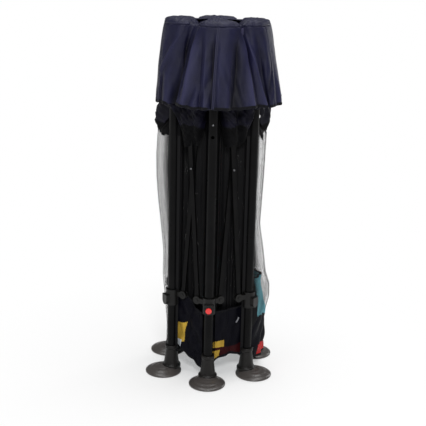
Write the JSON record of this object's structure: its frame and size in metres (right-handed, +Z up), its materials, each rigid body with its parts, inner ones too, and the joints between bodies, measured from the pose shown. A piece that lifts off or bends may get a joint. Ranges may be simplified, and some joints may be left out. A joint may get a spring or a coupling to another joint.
{
  "type": "folding canopy play enclosure",
  "caption": "Freestanding scissor-frame canopy enclosure with mesh walls, folded into an upright bundle on domed disc feet.",
  "frame": {"origin": "on the ground at the centre of the folded bundle", "axes": "+Z up along the legs; -Y towards the front leg, which carries the push button; +X to the right seen from the front"},
  "size_m": [0.36, 0.4, 1],
  "materials": {
    "black_tube": "satin black powder coat",
    "black_bar": "satin black powder coat",
    "joint_plastic": "moulded black nylon",
    "foot_plastic": "matte dark grey moulding",
    "navy_canopy": "coated polyester weave, slight sheen",
    "mesh_wall": "open polyester netting",
    "floor_cloth": "printed colour-block polyester",
    "red_button": "glossy red moulding",
    "spring_steel": "bright sheet",
    "zip_metal": "plated die casting"
  },
  "bodies": {
    "leg_1": {"leg_tube_1": "black_tube", "foot_1": "foot_plastic", "top_bracket_1": "joint_plastic", "canopy_corner_1": "navy_canopy"},
    "slider_1": {"slider_1": "joint_plastic", "lock_spring": "spring_steel"},
    "outer_bar_1": {"outer_bar_1": "black_bar"},
    "inner_bar_1": {"inner_bar_1": "black_bar"},
    "wall_1": {"wall_panel_1": "mesh_wall"},
    "leg_2": {"leg_tube_2": "black_tube", "foot_2": "foot_plastic", "top_bracket_2": "joint_plastic", "canopy_corner_2": "navy_canopy"},
    "slider_2": {"slider_2": "joint_plastic"},
    "outer_bar_2": {"outer_bar_2": "black_bar"},
    "inner_bar_2": {"inner_bar_2": "black_bar"},
    "wall_2": {"wall_panel_2": "mesh_wall"},
    "leg_3": {"leg_tube_3": "black_tube", "foot_3": "foot_plastic", "top_bracket_3": "joint_plastic", "canopy_corner_3": "navy_canopy"},
    "slider_3": {"slider_3": "joint_plastic"},
    "outer_bar_3": {"outer_bar_3": "black_bar"},
    "inner_bar_3": {"inner_bar_3": "black_bar"},
    "wall_3": {"wall_panel_3": "mesh_wall"},
    "leg_4": {"leg_tube_4": "black_tube", "foot_4": "foot_plastic", "top_bracket_4": "joint_plastic", "canopy_corner_4": "navy_canopy"},
    "slider_4": {"slider_4": "joint_plastic"},
    "outer_bar_4": {"outer_bar_4": "black_bar"},
    "inner_bar_4": {"inner_bar_4": "black_bar"},
    "wall_4": {"wall_panel_4": "mesh_wall"},
    "leg_5": {"leg_tube_5": "black_tube", "foot_5": "foot_plastic", "top_bracket_5": "joint_plastic", "canopy_corner_5": "navy_canopy"},
    "slider_5": {"slider_5": "joint_plastic"},
    "outer_bar_5": {"outer_bar_5": "black_bar"},
    "inner_bar_5": {"inner_bar_5": "black_bar"},
    "wall_5": {"wall_panel_5": "mesh_wall"},
    "leg_6": {"leg_tube_6": "black_tube", "foot_6": "foot_plastic", "top_bracket_6": "joint_plastic", "canopy_corner_6": "navy_canopy"},
    "slider_6": {"slider_6": "joint_plastic"},
    "outer_bar_6": {"outer_bar_6": "black_bar"},
    "inner_bar_6": {"inner_bar_6": "black_bar"},
    "wall_6": {"wall_panel_6": "mesh_wall"},
    "roof_right": {"roof_right": "navy_canopy"},
    "roof_right_edge": {"roof_right_edge": "navy_canopy"},
    "roof_left": {"roof_left": "navy_canopy"},
    "roof_left_edge": {"roof_left_edge": "navy_canopy"},
    "floor_right": {"floor_right": "floor_cloth"},
    "floor_right_edge": {"floor_right_edge": "floor_cloth"},
    "floor_left": {"floor_left": "floor_cloth"},
    "floor_left_edge": {"floor_left_edge": "floor_cloth"},
    "lock_button": {"lock_button": "red_button"},
    "door_zip_pull": {"door_zip_pull": "zip_metal"}
  },
  "joints": [
    {"name": "frame_open", "type": "hinge", "parent": "leg_1", "child": "outer_bar_1", "pos_m": [0.03256, -0.1104, 0.975], "axis": [0.5, -0.866, 0], "range_deg": [0, 65.5], "deforming": ["wall_panel_1", "wall_panel_2", "wall_panel_3", "wall_panel_4", "wall_panel_5", "wall_panel_6", "roof_right", "roof_right_edge", "roof_left", "roof_left_edge", "floor_right", "floor_right_edge", "floor_left", "floor_left_edge"]},
    {"name": "crossing_1", "type": "hinge", "parent": "outer_bar_1", "child": "inner_bar_1", "pos_m": [0.05369, -0.093, 0.60549], "axis": [0.5, -0.866, 0], "range_deg": [-131.5, 0]},
    {"name": "inner_bar_1_top", "type": "hinge", "parent": "inner_bar_1", "child": "leg_2", "pos_m": [0.07483, -0.0756, 0.975], "axis": [0.5, -0.866, 0], "range_deg": [0, 66]},
    {"name": "slider_2_pivot", "type": "hinge", "parent": "outer_bar_1", "child": "slider_2", "pos_m": [0.07933, -0.0834, 0.23597], "axis": [0.5, -0.866, 0], "range_deg": [-66, 0]},
    {"name": "outer_bar_2_top", "type": "hinge", "parent": "leg_2", "child": "outer_bar_2", "pos_m": [0.11189, -0.027, 0.975], "axis": [1, 0, 0], "range_deg": [0, 66]},
    {"name": "crossing_2", "type": "hinge", "parent": "outer_bar_2", "child": "inner_bar_2", "pos_m": [0.10739, 0, 0.60549], "axis": [1, 0, 0], "range_deg": [-131.5, 0]},
    {"name": "inner_bar_2_top", "type": "hinge", "parent": "inner_bar_2", "child": "leg_3", "pos_m": [0.10289, 0.027, 0.975], "axis": [1, 0, 0], "range_deg": [0, 66]},
    {"name": "slider_3_pivot", "type": "hinge", "parent": "outer_bar_2", "child": "slider_3", "pos_m": [0.11189, 0.027, 0.23597], "axis": [1, 0, 0], "range_deg": [-66, 0]},
    {"name": "outer_bar_3_top", "type": "hinge", "parent": "leg_3", "child": "outer_bar_3", "pos_m": [0.07933, 0.0834, 0.975], "axis": [0.5, 0.866, 0], "range_deg": [0, 66]},
    {"name": "crossing_3", "type": "hinge", "parent": "outer_bar_3", "child": "inner_bar_3", "pos_m": [0.05369, 0.093, 0.60549], "axis": [0.5, 0.866, 0], "range_deg": [-131.5, 0]},
    {"name": "inner_bar_3_top", "type": "hinge", "parent": "inner_bar_3", "child": "leg_4", "pos_m": [0.02806, 0.1026, 0.975], "axis": [0.5, 0.866, 0], "range_deg": [0, 66]},
    {"name": "slider_4_pivot", "type": "hinge", "parent": "outer_bar_3", "child": "slider_4", "pos_m": [0.03256, 0.1104, 0.23597], "axis": [0.5, 0.866, 0], "range_deg": [-66, 0]},
    {"name": "slider_1_pivot", "type": "hinge", "parent": "inner_bar_1", "child": "slider_1", "pos_m": [0.02806, -0.1026, 0.23597], "axis": [0.5, -0.866, 0], "range_deg": [0, 66]},
    {"name": "inner_bar_6_top", "type": "hinge", "parent": "leg_1", "child": "inner_bar_6", "pos_m": [-0.02806, -0.1026, 0.975], "axis": [-0.5, -0.866, 0], "range_deg": [-66, 0]},
    {"name": "crossing_6", "type": "hinge", "parent": "inner_bar_6", "child": "outer_bar_6", "pos_m": [-0.05369, -0.093, 0.60549], "axis": [-0.5, -0.866, 0], "range_deg": [0, 131.5]},
    {"name": "outer_bar_6_top", "type": "hinge", "parent": "outer_bar_6", "child": "leg_6", "pos_m": [-0.07933, -0.0834, 0.975], "axis": [-0.5, -0.866, 0], "range_deg": [-66, 0]},
    {"name": "slider_6_pivot", "type": "hinge", "parent": "inner_bar_6", "child": "slider_6", "pos_m": [-0.07483, -0.0756, 0.23597], "axis": [-0.5, -0.866, 0], "range_deg": [0, 66]},
    {"name": "inner_bar_5_top", "type": "hinge", "parent": "leg_6", "child": "inner_bar_5", "pos_m": [-0.10289, -0.027, 0.975], "axis": [-1, 0, 0], "range_deg": [-66, 0]},
    {"name": "crossing_5", "type": "hinge", "parent": "inner_bar_5", "child": "outer_bar_5", "pos_m": [-0.10739, 0, 0.60549], "axis": [-1, 0, 0], "range_deg": [0, 131.5]},
    {"name": "outer_bar_5_top", "type": "hinge", "parent": "outer_bar_5", "child": "leg_5", "pos_m": [-0.11189, 0.027, 0.975], "axis": [-1, 0, 0], "range_deg": [-66, 0]},
    {"name": "slider_5_pivot", "type": "hinge", "parent": "inner_bar_5", "child": "slider_5", "pos_m": [-0.10289, 0.027, 0.23597], "axis": [-1, 0, 0], "range_deg": [0, 66]},
    {"name": "outer_bar_4_top", "type": "hinge", "parent": "leg_4", "child": "outer_bar_4", "pos_m": [-0.03256, 0.1104, 0.975], "axis": [-0.5, 0.866, 0], "range_deg": [0, 66]},
    {"name": "inner_bar_4_top", "type": "hinge", "parent": "leg_5", "child": "inner_bar_4", "pos_m": [-0.07483, 0.0756, 0.975], "axis": [-0.5, 0.866, 0], "range_deg": [-66, 0]},
    {"name": "wall_1_spread", "type": "slide", "parent": "leg_1", "child": "wall_1", "axis": [0.866, 0.5, 0], "range_m": [0, 0.64288]},
    {"name": "wall_2_spread", "type": "slide", "parent": "leg_2", "child": "wall_2", "axis": [0, 1, 0], "range_m": [0, 0.64288]},
    {"name": "wall_3_spread", "type": "slide", "parent": "leg_3", "child": "wall_3", "axis": [-0.866, 0.5, 0], "range_m": [0, 0.64288]},
    {"name": "wall_4_spread", "type": "slide", "parent": "leg_4", "child": "wall_4", "axis": [-0.866, -0.5, 0], "range_m": [0, 0.64288]},
    {"name": "wall_5_spread", "type": "slide", "parent": "leg_5", "child": "wall_5", "axis": [0, -1, 0], "range_m": [0, 0.64288]},
    {"name": "wall_6_spread", "type": "slide", "parent": "leg_6", "child": "wall_6", "axis": [0.866, -0.5, 0], "range_m": [0, 0.64288]},
    {"name": "roof_right_spread", "type": "hinge", "parent": "leg_1", "child": "roof_right", "pos_m": [0, 0, 0.965], "axis": [0, -1, 0], "range_deg": [0, 90.5]},
    {"name": "roof_right_edge_spread", "type": "slide", "parent": "roof_right", "child": "roof_right_edge", "axis": [0, 1, 0], "range_m": [0, 1.28376]},
    {"name": "roof_left_spread", "type": "hinge", "parent": "leg_1", "child": "roof_left", "pos_m": [0, 0, 0.965], "axis": [0, 1, 0], "range_deg": [0, 90.5]},
    {"name": "roof_left_edge_spread", "type": "slide", "parent": "roof_left", "child": "roof_left_edge", "axis": [0, 1, 0], "range_m": [0, 1.28376]},
    {"name": "floor_right_spread", "type": "hinge", "parent": "leg_1", "child": "floor_right", "pos_m": [0, 0, 0.04], "axis": [0, 1, 0], "range_deg": [0, 90.5]},
    {"name": "floor_right_edge_spread", "type": "slide", "parent": "floor_right", "child": "floor_right_edge", "axis": [0, 1, 0], "range_m": [0, 1.28376]},
    {"name": "floor_left_spread", "type": "hinge", "parent": "leg_1", "child": "floor_left", "pos_m": [0, 0, 0.04], "axis": [0, -1, 0], "range_deg": [0, 90.5]},
    {"name": "floor_left_edge_spread", "type": "slide", "parent": "floor_left", "child": "floor_left_edge", "axis": [0, 1, 0], "range_m": [0, 1.28376]},
    {"name": "lock_button_press", "type": "slide", "parent": "slider_1", "child": "lock_button", "axis": [0, 1, 0], "range_m": [0, 0.0034], "stiffness_N_per_m": 400, "deforming": ["lock_spring"]},
    {"name": "door_zip", "type": "slide", "parent": "leg_1", "child": "door_zip_pull", "axis": [0, 0, 1], "range_m": [0, 0.5]}
  ],
  "couplings": [
    {"joint": "crossing_1", "follows": "frame_open", "ratio": -2},
    {"joint": "inner_bar_1_top", "follows": "frame_open", "ratio": 1},
    {"joint": "slider_2_pivot", "follows": "frame_open", "ratio": -1},
    {"joint": "outer_bar_2_top", "follows": "frame_open", "ratio": 1},
    {"joint": "crossing_2", "follows": "frame_open", "ratio": -2},
    {"joint": "inner_bar_2_top", "follows": "frame_open", "ratio": 1},
    {"joint": "slider_3_pivot", "follows": "frame_open", "ratio": -1},
    {"joint": "outer_bar_3_top", "follows": "frame_open", "ratio": 1},
    {"joint": "crossing_3", "follows": "frame_open", "ratio": -2},
    {"joint": "inner_bar_3_top", "follows": "frame_open", "ratio": 1},
    {"joint": "slider_4_pivot", "follows": "frame_open", "ratio": -1},
    {"joint": "slider_1_pivot", "follows": "frame_open", "ratio": 1},
    {"joint": "inner_bar_6_top", "follows": "frame_open", "ratio": -1},
    {"joint": "crossing_6", "follows": "frame_open", "ratio": 2},
    {"joint": "outer_bar_6_top", "follows": "frame_open", "ratio": -1},
    {"joint": "slider_6_pivot", "follows": "frame_open", "ratio": 1},
    {"joint": "inner_bar_5_top", "follows": "frame_open", "ratio": -1},
    {"joint": "crossing_5", "follows": "frame_open", "ratio": 2},
    {"joint": "outer_bar_5_top", "follows": "frame_open", "ratio": -1},
    {"joint": "slider_5_pivot", "follows": "frame_open", "ratio": 1},
    {"joint": "outer_bar_4_top", "follows": "frame_open", "ratio": 1},
    {"joint": "inner_bar_4_top", "follows": "frame_open", "ratio": -1},
    {"joint": "wall_1_spread", "follows": "frame_open", "m_per_rad": 0.56061},
    {"joint": "wall_2_spread", "follows": "frame_open", "m_per_rad": 0.56061},
    {"joint": "wall_3_spread", "follows": "frame_open", "m_per_rad": 0.56061},
    {"joint": "wall_4_spread", "follows": "frame_open", "m_per_rad": 0.56061},
    {"joint": "wall_5_spread", "follows": "frame_open", "m_per_rad": 0.56061},
    {"joint": "wall_6_spread", "follows": "frame_open", "m_per_rad": 0.56061},
    {"joint": "roof_right_spread", "follows": "frame_open", "ratio": 1.374},
    {"joint": "roof_right_edge_spread", "follows": "frame_open", "m_per_rad": 1.1212},
    {"joint": "roof_left_spread", "follows": "frame_open", "ratio": 1.374},
    {"joint": "roof_left_edge_spread", "follows": "frame_open", "m_per_rad": 1.1212},
    {"joint": "floor_right_spread", "follows": "frame_open", "ratio": 1.374},
    {"joint": "floor_right_edge_spread", "follows": "frame_open", "m_per_rad": 1.1212},
    {"joint": "floor_left_spread", "follows": "frame_open", "ratio": 1.374},
    {"joint": "floor_left_edge_spread", "follows": "frame_open", "m_per_rad": 1.1212}
  ]
}
